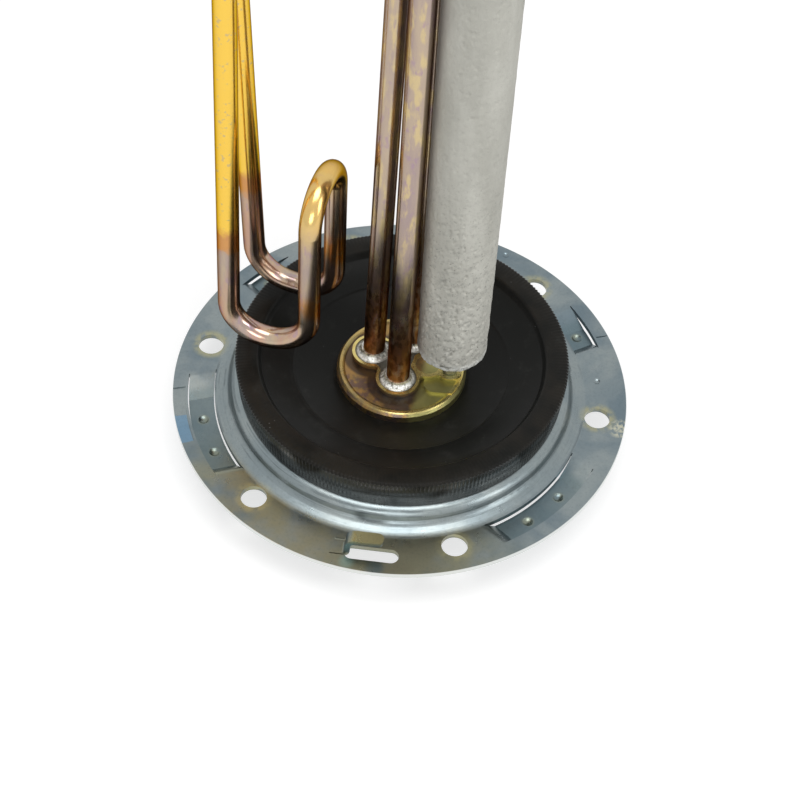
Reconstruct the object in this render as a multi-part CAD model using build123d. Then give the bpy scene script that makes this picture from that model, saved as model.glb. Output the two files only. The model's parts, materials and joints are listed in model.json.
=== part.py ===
from build123d import *
import os
from math import cos, sin, radians, tan

# Electric immersion heater for a storage water heater: a pressed steel flange, a rubber
# dish gasket, and a brass plate that carries the heating tube, the thermostat pocket and
# the sacrificial anode. Millimetres. The origin is the centre of the bolt circle on the
# top (tank side) face of the flange ring, and +Z points into the tank.

# Flange: one pressed sheet
SHEET = 2.0
FLANGE_R = 85.0
RING_W = 16.5
SHOULDER_GAP = 6.1
SHOULDER_Z = 7.1
SHOULDER_FOOT_Z = 1.6
SHOULDER_RUN = 2.0
PLATEAU_W = 6.4
WELL_R = 30.0
WELL_Z = 5.0
FLANGE_HOLE_R = 18.5
SHOULDER_FOOT_R = 3.0
SHOULDER_TOP_R = 4.2
RING_BEND_R = 6.0
DISH_BEND_R = 8.0

# Bolt holes: five on an even six-hole spacing, and one set off so that the flange
# goes on one way only
BOLT_EDGE = 10.6
BOLT_HOLE_R = 4.75
BOLT_HOLE_COUNT = 6
KEY_HOLE_SHIFT = 5.5

# Lanced strips, pressed down out of the ring and cut free along both sides: start angle,
# end angle, whether the long ramp is at the start, and the angles of the dimples
STRIP_W = 10.0
STRIP_DROP = 3.0
STRIP_CUT = 0.35
CREST = 1.6
LONG_RAMP = 10.5
SHORT_RAMP = 4.0
LONG_CREST_R = 7.0
LONG_FOOT_R = 1.6
SHORT_CREST_R = 4.0
SHORT_FOOT_R = 0.8
STRIPS = [
    (190.6, 228.5, True, (206.8, 219.0)),
    (311.8, 349.2, False, (323.1, 335.5)),
    (30.3, 50.0, False, (38.5,)),
    (137.3, 157.0, True, (148.5,)),
]
DIMPLE_R = 1.9
DIMPLE_DEPTH = 0.7
DENT_R = 1.3
DENT_DEPTH = 0.45
DENT_IN = (10.5, 3.5)
DENT_ANGLES = (19.3, 74.1)
MARGIN_COIN = (205.9, 214.9)
MARGIN_COIN_W = 4.7
MARGIN_COIN_DEPTH = 0.4

# Hook, lanced from the ring and bent up for the cover's catch. It is turned inward from
# the tangent at its root. The relief is the nick on the root's inner side, the lance the
# fine cut that runs on past its outer side.
HOOK_ANGLE = 270.8
HOOK_OUT = 2.0
HOOK_TURN = 7.5
HOOK_W = 4.6
HOOK_LEN = 12.8
HOOK_RISE = 7.6
HOOK_BEND = 0.4
HOOK_FOOT_R = 2.2
HOOK_TOP_R = 2.9
HOOK_ROOT_IN = 3.5
HOOK_TIP_R = 2.0
HOOK_SLOT_LEN = 19.6
HOOK_SLOT_W = 5.8
HOOK_SLOT_START = -1.1
HOOK_SLOT_SIDE = -1.5
RELIEF_LEN = 4.0
RELIEF_W = 0.9
RELIEF_AT = (-3.0, 3.6)
LANCE_LEN = 6.5
LANCE_W = 0.4
LANCE_AT = (-2.9, -2.9)

# Rubber dish gasket
GASKET_BASE_IN = 2.0
GASKET_FLARE = 1.1
GASKET_RIM_W = 8.7
GASKET_RIM_Z = 20.0
GASKET_RIM_EDGE = 0.7
GASKET_LIP_DEPTH = 2.9
GASKET_LIP_RUN = 1.0
GASKET_LIP_EDGE = 0.9
GASKET_RIDGE_R = 40.2
GASKET_RIDGE_Z = 13.9
GASKET_RIDGE_STEP = 0.7
GASKET_RIDGE_RUN = 0.6
GASKET_RIDGE_W = 1.2
GASKET_FLOOR_Z = 9.0
GASKET_SEAT_CLEAR = 0.5
GASKET_HOLE_CLEAR = 0.3

# Brass plate with its raised boss and its threaded hub
PLATE_R = 24.0
PLATE_H = 3.6
PLATE_EDGE_W = 1.0
PLATE_EDGE_H = 1.4
PLATE_RIM_W = 1.0
PLATE_RIM_RUN = 1.0
PLATE_RIM_H = 0.6
PAD_INSET = 1.3
BOSS_H = 2.8
BOSS_COLLAR = 3.8
BOSS_LIP = 1.1
SOLDER_DEPTH = 1.3
BOSS_CORE_R = 8.0
BOSS_BLEND_R = 1.8
ANODE_LOBE_R = 4.5
ANODE_BRIDGE_R = 6.0
ANODE_BRIDGE_AT = 0.6
PAD_H = 1.1
PAD_FRONT_Y = -12.6
PAD_LEFT_X = 8.5
PAD_CORNER_R = 4.0
HUB_R = 18.0
HUB_BOTTOM_Z = -4.5

# Element group: turned on the flange when it was clamped. Plan positions of the tubes
# and the anode before that turn.
ELEMENT_TURN = 12.25
LEG_A = (-10.9, 4.6)
LEG_C = (4.5, 11.0)
POCKET = (-1.2, -8.0)
ANODE = (17.8, -2.9)

# Heating tube: one bent tube, from leg A over to the front loop, through the low arch
# to the back loop, and back over to leg C
TUBE_R = 4.0
TUBE_CLEAR = 0.1
LEG_A_LEAN = 3.6
TOP_Z = 262.0
BEND_R = 14.6
ARCH_BEND_R = 12.9
FRONT_OUTER = (-63.5, -1.0)
FRONT_INNER = (-34.0, -7.5)
BACK_INNER = (-26.7, 18.0)
BACK_OUTER = (-56.4, 28.2)
FRONT_OUTER_LEAN = 2.8
BACK_OUTER_LEAN = -8.0
LOOP_Z = 29.5
ARCH_Z = 100.8
TUBE_END_PROUD = 1.0

# Thermostat pocket: a thin tube, closed in the water and open on the dry side
POCKET_R = 4.25
POCKET_WALL = 0.6
POCKET_TOP_Z = 246.0
POCKET_LEAN = 1.2

# Solder round the tubes
SOLDER_FOOT = 2.3
SOLDER_NECK = 0.35
SOLDER_CLIMB = 2.4
SOLDER_BELOW_LIP = 0.3
SOLDER_HOLLOW = 0.45

# Anode
ANODE_R = 13.0
ANODE_BOTTOM_Z = 28.0
ANODE_LEN = 230.0
ANODE_EDGE = 1.2
STUD_R = 2.5
STUD_IN_PLATE = 5.0
STUD_IN_ANODE = 20.0
STUD_EDGE = 0.5
THREAD_CLEAR = 0.05

# Clamping on the dry side
WASHER_H = 1.5
WASHER_R = 27.0
NUT_H = 5.0
NUT_FLATS = 46.0
DRY_CLEAR = 0.3
NUT_EDGE = 1.2

# Terminals
BEAD_R = 3.7
BEAD_LEN = 4.0
BEAD_EDGE = 0.6
SPIGOT_R = 2.6
SPIGOT_LEN = 8.0
SPIGOT_CLEAR = 0.1
PIN_R = 1.5
PIN_OUT = 6.5
PIN_FLAT = 0.5
TAB_W = 6.3
TAB_T = 0.8
TAB_LEN = 10.5
TAB_HOLE_R = 0.9
TAB_HOLE_IN = 4.0
TAB_POINT = 1.4
TAB_LIFT = 0.6

# Earth tab, welded under the ring
EARTH_ANGLE = 90.0
EARTH_FOOT = 8.0
EARTH_DROP = 12.0
EARTH_BEND_R = 0.6

# Working lengths: a cut that always goes right through a thin piece, and how far a
# raised form is started inside the metal below it
THROUGH = 40.0
ROOT = 1.0

# Radii and heights worked out from the sizes above
RING_INNER_R = FLANGE_R - RING_W
SHOULDER_R = RING_INNER_R - SHOULDER_GAP
PLATEAU_R = SHOULDER_R - PLATEAU_W
BOLT_CIRCLE_R = FLANGE_R - BOLT_EDGE
HOOK_R = BOLT_CIRCLE_R + HOOK_OUT
GASKET_BASE_R = SHOULDER_R - GASKET_BASE_IN
GASKET_RIM_R = GASKET_BASE_R + GASKET_FLARE
GASKET_LIP_R = GASKET_RIM_R - GASKET_RIM_W
PLATE_TOP_Z = GASKET_FLOOR_Z + PLATE_H
BOSS_TOP_Z = PLATE_TOP_Z + BOSS_H
SOLDER_Z = BOSS_TOP_Z - SOLDER_DEPTH
TUBE_END_Z = HUB_BOTTOM_Z - TUBE_END_PROUD
WELL_UNDER_Z = WELL_Z - SHEET
WASHER_UNDER_Z = WELL_UNDER_Z - WASHER_H
NUT_UNDER_Z = WASHER_UNDER_Z - NUT_H


def polar(radius, angle, z=0.0):
    """A point at a radius and an angle in degrees about the Z axis."""
    return (radius * cos(radians(angle)), radius * sin(radians(angle)), z)


def turned(*lines):
    """A solid of revolution about Z from a closed section drawn as radius and height."""
    edges = [edge for line in lines for edge in (Plane.XZ * line).edges()]
    return revolve(make_face(edges), Axis.Z)


def rod(start, end, radius):
    """A straight round rod between two points."""
    start, end = Vector(*start), Vector(*end)
    return extrude(Plane(start, z_dir=end - start) * Circle(radius), (end - start).length)


def turn_group(shape):
    """The element group's turn on the flange."""
    return Rot(0, 0, ELEMENT_TURN) * shape


def leg_frame(leg):
    """The plane at the dry end of a leg, its Z axis pointing out of the tank."""
    return Plane(Vector(*leg[0]), z_dir=Vector(*leg[0]) - Vector(*leg[1]))


# Each leg is a straight line from its dry end to its top
leg_a = ((LEG_A[0], LEG_A[1], TUBE_END_Z), (LEG_A[0] + LEG_A_LEAN, LEG_A[1], TOP_Z))
leg_c = ((LEG_C[0], LEG_C[1], TUBE_END_Z), (LEG_C[0], LEG_C[1], TOP_Z))
pocket_line = ((POCKET[0], POCKET[1], HUB_BOTTOM_Z), (POCKET[0] + POCKET_LEAN, POCKET[1], POCKET_TOP_Z))


def ring_band(outer_r, inner_r):
    """A round band about Z, high enough to cut the whole ring."""
    return Cylinder(outer_r, THROUGH) - Cylinder(inner_r, THROUGH)


def strip_blank(start, end, long_at_start):
    """One lanced strip: a bent bar cut to the ring's curve, and the window it leaves."""
    middle = (start + end) / 2
    inner_r = BOLT_CIRCLE_R - STRIP_W / 2
    outer_r = BOLT_CIRCLE_R + STRIP_W / 2
    half = BOLT_CIRCLE_R * tan(radians(end - start) / 2)
    long_end = (LONG_RAMP, LONG_CREST_R, LONG_FOOT_R)
    short_end = (SHORT_RAMP, SHORT_CREST_R, SHORT_FOOT_R)
    first, last = (long_end, short_end) if long_at_start else (short_end, long_end)
    top_line = FilletPolyline(
        (-half, 0), (-half + CREST, 0), (-half + CREST + first[0], -STRIP_DROP),
        (half - CREST - last[0], -STRIP_DROP), (half - CREST, 0), (half, 0),
        radius=[first[1], first[2], last[2], last[1]])
    outline = offset(top_line, SHEET, side=Side.RIGHT)
    side = Plane(polar(0, 0), x_dir=polar(1, middle + 90), z_dir=polar(1, middle))
    bar = extrude(side * make_face(outline.edges()), outer_r)
    block = extrude(side * Rectangle(2 * half, THROUGH), outer_r)
    free = extrude(side * Rectangle(2 * (half - CREST), THROUGH), outer_r)
    band = ring_band(outer_r, inner_r)
    side_cuts = free & (band - ring_band(outer_r - STRIP_CUT, inner_r + STRIP_CUT))
    return (bar & band) - side_cuts, block & band


def hook():
    """The hook and the cuts round it, drawn along X with its root at zero."""
    line = [(-HOOK_ROOT_IN, -SHEET / 2), (0, -SHEET / 2), (HOOK_BEND, HOOK_RISE - SHEET / 2),
            (HOOK_LEN, HOOK_RISE - SHEET / 2)]
    spine = FilletPolyline(*line, radius=[HOOK_FOOT_R, HOOK_TOP_R])
    face = offset(spine, SHEET / 2, kind=Kind.INTERSECTION)
    strap = extrude(Plane.XZ * make_face(face.edges()), HOOK_W / 2, both=True)
    reach = HOOK_LEN + HOOK_ROOT_IN + 2 * HOOK_TIP_R
    blank = Pos(HOOK_LEN - reach / 2, 0) * RectangleRounded(reach, HOOK_W, HOOK_TIP_R)
    strap = strap & extrude(blank, THROUGH, both=True)
    slot_middle = HOOK_SLOT_START + HOOK_SLOT_LEN / 2
    cuts = Pos(slot_middle, HOOK_SLOT_SIDE) * SlotOverall(HOOK_SLOT_LEN, HOOK_SLOT_W)
    cuts = cuts + Pos(*RELIEF_AT) * SlotOverall(RELIEF_LEN, RELIEF_W)
    cuts = cuts + Pos(*LANCE_AT) * SlotOverall(LANCE_LEN, LANCE_W)
    return strap, extrude(cuts, THROUGH, both=True)


def build_flange():
    """Pressed flange: ring, rounded shoulder, dished well, strips, hook and holes."""
    top = [(FLANGE_R, 0), (RING_INNER_R, 0), (SHOULDER_R + SHOULDER_RUN, SHOULDER_FOOT_Z),
           (SHOULDER_R, SHOULDER_Z), (PLATEAU_R, SHOULDER_Z), (WELL_R, WELL_Z), (FLANGE_HOLE_R, WELL_Z)]
    bends = [RING_BEND_R, SHOULDER_FOOT_R, SHOULDER_TOP_R, DISH_BEND_R, DISH_BEND_R]
    top_line = FilletPolyline(*top, radius=bends)
    section = offset(top_line, SHEET, side=Side.LEFT)
    flange = turned(*section.edges())

    for start, end, long_at_start, dimples in STRIPS:
        strip, window = strip_blank(start, end, long_at_start)
        for angle in dimples:
            ball_r = (DIMPLE_R ** 2 + DIMPLE_DEPTH ** 2) / (2 * DIMPLE_DEPTH)
            centre = polar(BOLT_CIRCLE_R, angle, ball_r - DIMPLE_DEPTH - STRIP_DROP)
            strip = strip - Pos(*centre) * Sphere(ball_r)
        flange = flange - window + strip

    strap, cuts = hook()
    place = Pos(*polar(HOOK_R, HOOK_ANGLE)) * Rot(0, 0, HOOK_ANGLE + 90 + HOOK_TURN)
    flange = flange - place * cuts + place * strap

    hole = Cylinder(BOLT_HOLE_R, THROUGH)
    step = 360 / BOLT_HOLE_COUNT
    for index in range(BOLT_HOLE_COUNT):
        angle = index * step + (KEY_HOLE_SHIFT if index == 0 else 0)
        flange = flange - Pos(*polar(BOLT_CIRCLE_R, angle)) * hole

    dent_ball_r = (DENT_R ** 2 + DENT_DEPTH ** 2) / (2 * DENT_DEPTH)
    for inset, angle in zip(DENT_IN, DENT_ANGLES):
        centre = polar(FLANGE_R - inset, angle, dent_ball_r - DENT_DEPTH)
        flange = flange - Pos(*centre) * Sphere(dent_ball_r)

    coin_from, coin_to = MARGIN_COIN
    coin = Cylinder(2 * FLANGE_R, 2 * MARGIN_COIN_DEPTH, arc_size=coin_to - coin_from)
    coin = Rot(0, 0, coin_from) * coin - Cylinder(FLANGE_R - MARGIN_COIN_W, THROUGH)
    return flange - coin


def build_gasket():
    """Moulded rubber dish: rim, short inner wall, sloping floor with a low ridge."""
    hole_r = HUB_R + GASKET_HOLE_CLEAR
    wall_foot_z = GASKET_RIM_Z - GASKET_LIP_DEPTH
    top = [(hole_r, GASKET_FLOOR_Z), (PLATE_R + GASKET_SEAT_CLEAR, GASKET_FLOOR_Z),
           (GASKET_RIDGE_R - GASKET_RIDGE_RUN, GASKET_RIDGE_Z - GASKET_RIDGE_STEP),
           (GASKET_RIDGE_R, GASKET_RIDGE_Z), (GASKET_RIDGE_R + GASKET_RIDGE_W, GASKET_RIDGE_Z),
           (GASKET_LIP_R - GASKET_LIP_RUN, wall_foot_z), (GASKET_LIP_R, GASKET_RIM_Z - GASKET_LIP_EDGE),
           (GASKET_LIP_R + GASKET_LIP_EDGE, GASKET_RIM_Z), (GASKET_RIM_R - GASKET_RIM_EDGE, GASKET_RIM_Z),
           (GASKET_RIM_R, GASKET_RIM_Z - GASKET_RIM_EDGE)]
    under = [(hole_r, WELL_Z), (WELL_R, WELL_Z), (PLATEAU_R, SHOULDER_Z), (GASKET_BASE_R, SHOULDER_Z)]
    floor = Polyline(*top)
    seat = FilletPolyline(*under, radius=[DISH_BEND_R, DISH_BEND_R])
    return turned(floor, seat, Line(top[0], under[0]), Line(top[-1], under[-1]))


def boss_outline(with_anode):
    """Plan of the raised boss: a lobe round each tube, and one for the anode's stud."""
    lobes = [(LEG_A, TUBE_R + BOSS_COLLAR), (LEG_C, TUBE_R + BOSS_COLLAR), (POCKET, POCKET_R + BOSS_COLLAR)]
    core = [sum(point[axis] for point, radius in lobes) / 3 for axis in (0, 1)]
    lobes.append((core, BOSS_CORE_R))
    if with_anode:
        between = [core[axis] + ANODE_BRIDGE_AT * (ANODE[axis] - core[axis]) for axis in (0, 1)]
        lobes.append((between, ANODE_BRIDGE_R))
        lobes.append((ANODE, ANODE_LOBE_R))
    plan = Sketch()
    for (x, y), radius in lobes:
        plan = plan + Pos(x, y) * Circle(radius)
    return offset(offset(plan, BOSS_BLEND_R), -BOSS_BLEND_R)


def build_plate():
    """Forged brass plate: rimmed disc, boss with a lip, pad, and hub through the flange."""
    rim_z = PLATE_TOP_Z + PLATE_RIM_H
    rim_inner_r = PLATE_R - PLATE_EDGE_W - PLATE_RIM_W
    outline = [(0, HUB_BOTTOM_Z), (HUB_R, HUB_BOTTOM_Z), (HUB_R, GASKET_FLOOR_Z),
               (PLATE_R, GASKET_FLOOR_Z), (PLATE_R, rim_z - PLATE_EDGE_H), (PLATE_R - PLATE_EDGE_W, rim_z),
               (rim_inner_r, rim_z), (rim_inner_r - PLATE_RIM_RUN, PLATE_TOP_Z), (0, PLATE_TOP_Z)]
    plate = turned(Polyline(*outline, close=True))
    pad_plan = RectangleRounded(2 * PLATE_R, 2 * PLATE_R, PAD_CORNER_R)
    pad_plan = Pos(PAD_LEFT_X + PLATE_R, PAD_FRONT_Y + PLATE_R) * pad_plan
    pad = Pos(0, 0, PLATE_TOP_Z - ROOT) * extrude(pad_plan, PAD_H + ROOT)
    inside_rim = Pos(0, 0, PLATE_TOP_Z) * Cylinder(PLATE_R - PAD_INSET, THROUGH)
    plate = plate + (pad & inside_rim)
    boss = Pos(0, 0, PLATE_TOP_Z - ROOT) * extrude(boss_outline(True), BOSS_H + ROOT)
    boss = boss & Pos(0, 0, PLATE_TOP_Z) * Cylinder(PLATE_R - PLATE_EDGE_W, THROUGH)
    plate = plate + boss
    recess = offset(boss_outline(False), -BOSS_LIP)
    plate = plate - Pos(0, 0, SOLDER_Z) * extrude(recess, SOLDER_DEPTH + ROOT)
    for line, radius in ((leg_a, TUBE_R), (leg_c, TUBE_R), (pocket_line, POCKET_R)):
        bottom, top = Vector(*line[0]), Vector(*line[1])
        past_hub = bottom - (top - bottom).normalized() * ROOT
        plate = plate - rod(past_hub, top, radius + TUBE_CLEAR)
    stud_hole_z = BOSS_TOP_Z - STUD_IN_PLATE
    plate = plate - Pos(*ANODE, stud_hole_z) * Cylinder(
        STUD_R + THREAD_CLEAR, STUD_IN_PLATE + ROOT, align=(Align.CENTER, Align.CENTER, Align.MIN))
    return turn_group(plate)


def build_solder():
    """Solder that fills the boss and climbs each tube."""
    level = SOLDER_DEPTH - SOLDER_BELOW_LIP
    bed = Pos(0, 0, SOLDER_Z) * extrude(offset(boss_outline(False), -BOSS_LIP), level)
    lines = [(leg_a, TUBE_R), (leg_c, TUBE_R), (pocket_line, POCKET_R)]
    for line, radius in lines:
        x, y = line[0][0], line[0][1]
        foot, neck = (radius + SOLDER_FOOT, 0), (radius + SOLDER_NECK, SOLDER_CLIMB)
        hollow = SagittaArc(foot, neck, SOLDER_HOLLOW)
        collar = turned(hollow, Polyline(neck, (0, SOLDER_CLIMB), (0, 0), foot))
        bed = bed + Pos(x, y, SOLDER_Z + level) * collar
    for line, radius in lines:
        bed = bed - rod(*line, radius)
    return turn_group(bed)


def build_heating_tube():
    """The bent heating tube, with a blind socket at each dry end for the terminal."""
    front_outer_top = (FRONT_OUTER[0] + FRONT_OUTER_LEAN, FRONT_OUTER[1], TOP_Z)
    back_outer_top = (BACK_OUTER[0] + BACK_OUTER_LEAN, BACK_OUTER[1], TOP_Z)
    route = [leg_a[0], leg_a[1], front_outer_top, (*FRONT_OUTER, LOOP_Z), (*FRONT_INNER, LOOP_Z),
             (*FRONT_INNER, ARCH_Z), (*BACK_INNER, ARCH_Z), (*BACK_INNER, LOOP_Z),
             (*BACK_OUTER, LOOP_Z), back_outer_top, leg_c[1], leg_c[0]]
    bends = [BEND_R] * 4 + [ARCH_BEND_R] * 2 + [BEND_R] * 4
    path = FilletPolyline(*route, radius=bends)
    tube = sweep(Plane(path @ 0, z_dir=path % 0) * Circle(TUBE_R), path)
    for leg in (leg_a, leg_c):
        socket = leg_frame(leg) * Cylinder(SPIGOT_R + SPIGOT_CLEAR, 2 * (SPIGOT_LEN + SPIGOT_CLEAR))
        tube = tube - socket
    return turn_group(tube)


def build_pocket():
    """Thermostat pocket: a tube with a rounded closed end."""
    bottom, top = Vector(*pocket_line[0]), Vector(*pocket_line[1])
    along = (top - bottom).normalized()
    shell = rod(bottom, top - along * POCKET_R, POCKET_R)
    shell = shell + Pos(*(top - along * POCKET_R)) * Sphere(POCKET_R)
    bore_r = POCKET_R - POCKET_WALL
    bore_end = top - along * POCKET_R
    shell = shell - rod(bottom - along, bore_end, bore_r) - Pos(*bore_end) * Sphere(bore_r)
    return turn_group(shell)


def build_anode():
    """Sacrificial anode, a cast rod with a socket for its stud."""
    body = Cylinder(ANODE_R, ANODE_LEN, align=(Align.CENTER, Align.CENTER, Align.MIN))
    body = fillet(body.edges().filter_by(GeomType.CIRCLE), ANODE_EDGE)
    socket = Cylinder(STUD_R + THREAD_CLEAR, 2 * STUD_IN_ANODE)
    return turn_group(Pos(*ANODE, ANODE_BOTTOM_Z) * (body - socket))


def build_anode_stud():
    """Stud between the plate's boss and the anode."""
    start_z = BOSS_TOP_Z - STUD_IN_PLATE
    length = ANODE_BOTTOM_Z + STUD_IN_ANODE - start_z
    stud = Cylinder(STUD_R, length, align=(Align.CENTER, Align.CENTER, Align.MIN))
    stud = chamfer(stud.edges().filter_by(GeomType.CIRCLE), STUD_EDGE)
    return turn_group(Pos(*ANODE, start_z) * stud)


def build_washer():
    """Plain washer between the flange's well and the lock nut."""
    ring = Cylinder(WASHER_R, WASHER_H, align=(Align.CENTER, Align.CENTER, Align.MIN))
    ring = ring - Cylinder(HUB_R + DRY_CLEAR, 4 * WASHER_H)
    return Pos(0, 0, WASHER_UNDER_Z) * ring


def build_nut():
    """Thin hexagon lock nut on the hub, its outer corners chamfered."""
    corner_r = NUT_FLATS / 2 / cos(radians(30))
    body = extrude(RegularPolygon(corner_r, 6), NUT_H)
    cone_section = [(0, 0), (corner_r - NUT_EDGE, 0), (corner_r, NUT_EDGE), (corner_r, NUT_H), (0, NUT_H)]
    body = body & turned(Polyline(*cone_section, close=True))
    body = body - Cylinder(HUB_R + THREAD_CLEAR, 4 * NUT_H)
    return Pos(0, 0, NUT_UNDER_Z) * body


def build_bead(leg):
    """Ceramic bead that closes the end of the heating tube round the pin."""
    bead = Cylinder(BEAD_R, BEAD_LEN, align=(Align.CENTER, Align.CENTER, Align.MIN))
    bead = chamfer(bead.edges().group_by(Axis.Z)[-1], BEAD_EDGE)
    spigot = Cylinder(SPIGOT_R, SPIGOT_LEN, align=(Align.CENTER, Align.CENTER, Align.MAX))
    bead = bead + spigot - Cylinder(PIN_R, 4 * SPIGOT_LEN)
    return turn_group(leg_frame(leg) * bead)


def build_pin(leg):
    """Cold pin of the heating coil, with a flat for the tab."""
    length = SPIGOT_LEN + BEAD_LEN + PIN_OUT
    pin = Pos(0, 0, -SPIGOT_LEN) * Cylinder(PIN_R, length, align=(Align.CENTER, Align.CENTER, Align.MIN))
    flat = Pos(0, PIN_R - PIN_FLAT, BEAD_LEN) * Box(
        4 * PIN_R, PIN_R, 2 * PIN_OUT, align=(Align.CENTER, Align.MIN, Align.MIN))
    return turn_group(leg_frame(leg) * (pin - flat))


def blade():
    """Push-on blade in the XZ plane, its root at zero, with a pointed end and a hole."""
    half = TAB_W / 2
    outline = [(-half, 0), (half, 0), (half, TAB_LEN - TAB_POINT), (half - TAB_POINT, TAB_LEN),
               (TAB_POINT - half, TAB_LEN), (-half, TAB_LEN - TAB_POINT)]
    plan = make_face(Polyline(*outline, close=True)) - Pos(0, TAB_LEN - TAB_HOLE_IN) * Circle(TAB_HOLE_R)
    return extrude(Plane.XZ * plan, -TAB_T)


def build_tab(leg):
    """Push-on tab, welded to the flat of a pin."""
    tab = Pos(0, PIN_R - PIN_FLAT, BEAD_LEN + TAB_LIFT) * blade()
    return turn_group(leg_frame(leg) * tab)


def build_earth_tab():
    """Earth tab: a foot welded under the ring, and a blade that hangs from it."""
    half = TAB_W / 2
    foot = Box(TAB_W, EARTH_FOOT, TAB_T, align=(Align.CENTER, Align.MIN, Align.MAX))
    outline = [(-half, 0), (half, 0), (half, TAB_POINT - EARTH_DROP), (half - TAB_POINT, -EARTH_DROP),
               (TAB_POINT - half, -EARTH_DROP), (-half, TAB_POINT - EARTH_DROP)]
    plan = make_face(Polyline(*outline, close=True)) - Pos(0, TAB_HOLE_IN - EARTH_DROP) * Circle(TAB_HOLE_R)
    drop = extrude(Plane.XZ * plan, -TAB_T)
    tab = foot + drop
    bend = tab.edges().filter_by(Axis.X).filter_by(lambda edge: abs(edge.center().Y) < TAB_T / 4)
    tab = fillet(bend.filter_by(lambda edge: abs(edge.center().Z) < TAB_T / 4), EARTH_BEND_R)
    spot = Pos(*polar(BOLT_CIRCLE_R - EARTH_FOOT / 2, EARTH_ANGLE, -SHEET)) * Rot(0, 0, EARTH_ANGLE - 90)
    return spot * tab


parts = {
    "flange_plate": build_flange(),
    "sealing_gasket": build_gasket(),
    "element_plate": build_plate(),
    "solder_bed": build_solder(),
    "heating_tube": build_heating_tube(),
    "thermostat_pocket": build_pocket(),
    "anode_rod": build_anode(),
    "anode_stud": build_anode_stud(),
    "clamp_washer": build_washer(),
    "lock_nut": build_nut(),
    "earth_tab": build_earth_tab(),
}
for number, leg in enumerate((leg_a, leg_c), start=1):
    parts[f"terminal_bead_{number}"] = build_bead(leg)
    parts[f"terminal_pin_{number}"] = build_pin(leg)
    parts[f"terminal_tab_{number}"] = build_tab(leg)

os.makedirs("parts", exist_ok=True)
for name, shape in parts.items():
    export_step(shape, f"parts/{name}.step")
    print(name, round(shape.volume, 1), len(shape.solids()))
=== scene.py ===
# %% [markdown]
# A lesson in dressing a CAD part: an electric immersion heater from a storage water
# heater. The real one is a pressed steel flange with a black rubber dish gasket, and a
# brass plate in the middle that carries a bent copper heating tube, a thermostat pocket
# and a thick magnesium anode. The CAD model already has the sizes, so this script only
# adds finishes and the few surfaces that need more relief than CAD gives them.

import json
from math import cos, hypot, pi, radians, sin

import bpy
from mathutils import Matrix, Vector, noise


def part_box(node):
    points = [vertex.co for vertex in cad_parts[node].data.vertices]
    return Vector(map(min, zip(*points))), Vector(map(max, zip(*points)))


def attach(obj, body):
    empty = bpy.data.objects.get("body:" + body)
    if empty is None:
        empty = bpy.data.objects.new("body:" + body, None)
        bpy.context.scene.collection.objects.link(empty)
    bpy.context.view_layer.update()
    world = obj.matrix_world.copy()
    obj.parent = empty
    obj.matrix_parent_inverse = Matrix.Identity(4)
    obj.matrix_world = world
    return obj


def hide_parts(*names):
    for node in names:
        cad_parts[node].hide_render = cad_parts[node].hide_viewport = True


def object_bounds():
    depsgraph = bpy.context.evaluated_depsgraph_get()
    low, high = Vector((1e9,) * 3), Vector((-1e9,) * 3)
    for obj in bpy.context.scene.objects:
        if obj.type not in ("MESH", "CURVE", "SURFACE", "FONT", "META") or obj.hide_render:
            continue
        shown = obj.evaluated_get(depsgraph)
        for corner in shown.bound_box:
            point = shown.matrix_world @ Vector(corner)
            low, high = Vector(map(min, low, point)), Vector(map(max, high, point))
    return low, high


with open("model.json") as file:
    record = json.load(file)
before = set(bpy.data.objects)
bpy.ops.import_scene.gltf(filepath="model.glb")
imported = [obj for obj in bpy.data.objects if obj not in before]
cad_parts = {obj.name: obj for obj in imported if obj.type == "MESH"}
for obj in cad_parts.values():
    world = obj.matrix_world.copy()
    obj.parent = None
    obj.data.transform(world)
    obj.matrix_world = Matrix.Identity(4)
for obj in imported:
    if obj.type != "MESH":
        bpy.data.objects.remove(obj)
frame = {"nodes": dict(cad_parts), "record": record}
cad_box = [list(corner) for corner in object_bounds()]
nodes = frame["nodes"]
print("CAD nodes:", len(nodes), "box", [[round(v, 4) for v in corner] for corner in cad_box])

# %% [markdown]
# Everything in Blender is in metres, while the sizes of a small part read better in
# millimetres. One constant turns one into the other.

# %% Units
MM = 0.001

# %% [markdown]
# The camera stands where the photographer's did: about 0.8 m away, looking down at 50
# degrees, and rolled a little. A camera looks along its own -Z axis, so its matrix is
# built from three directions: right, up and back.

# %% Camera
CAMERA_AT = (108.88, -500.66, 613.20)
CAMERA_TURN = radians(12.25)
CAMERA_DOWN = radians(50.4454)
CAMERA_ROLL = radians(3.57)
CAMERA_LENS = 95.861


def make_camera():
    """The camera, built from the way it looks and its roll."""
    level = Vector((cos(CAMERA_TURN), sin(CAMERA_TURN), 0))
    ahead = Vector((-sin(CAMERA_TURN) * cos(CAMERA_DOWN), cos(CAMERA_TURN) * cos(CAMERA_DOWN), -sin(CAMERA_DOWN)))
    plumb = level.cross(ahead)
    right = cos(CAMERA_ROLL) * level + sin(CAMERA_ROLL) * plumb
    up = cos(CAMERA_ROLL) * plumb - sin(CAMERA_ROLL) * level
    data = bpy.data.cameras.new("camera")
    data.lens = CAMERA_LENS
    data.sensor_width = 36
    data.clip_start, data.clip_end = 0.01, 50
    camera = bpy.data.objects.new("camera", data)
    turn = Matrix((right, up, -ahead)).transposed().to_4x4()
    camera.matrix_world = Matrix.Translation(Vector(CAMERA_AT) * MM) @ turn
    bpy.context.scene.collection.objects.link(camera)
    bpy.context.scene.camera = camera
    return camera


camera = make_camera()
print("camera at", [round(v, 3) for v in camera.location])

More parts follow.
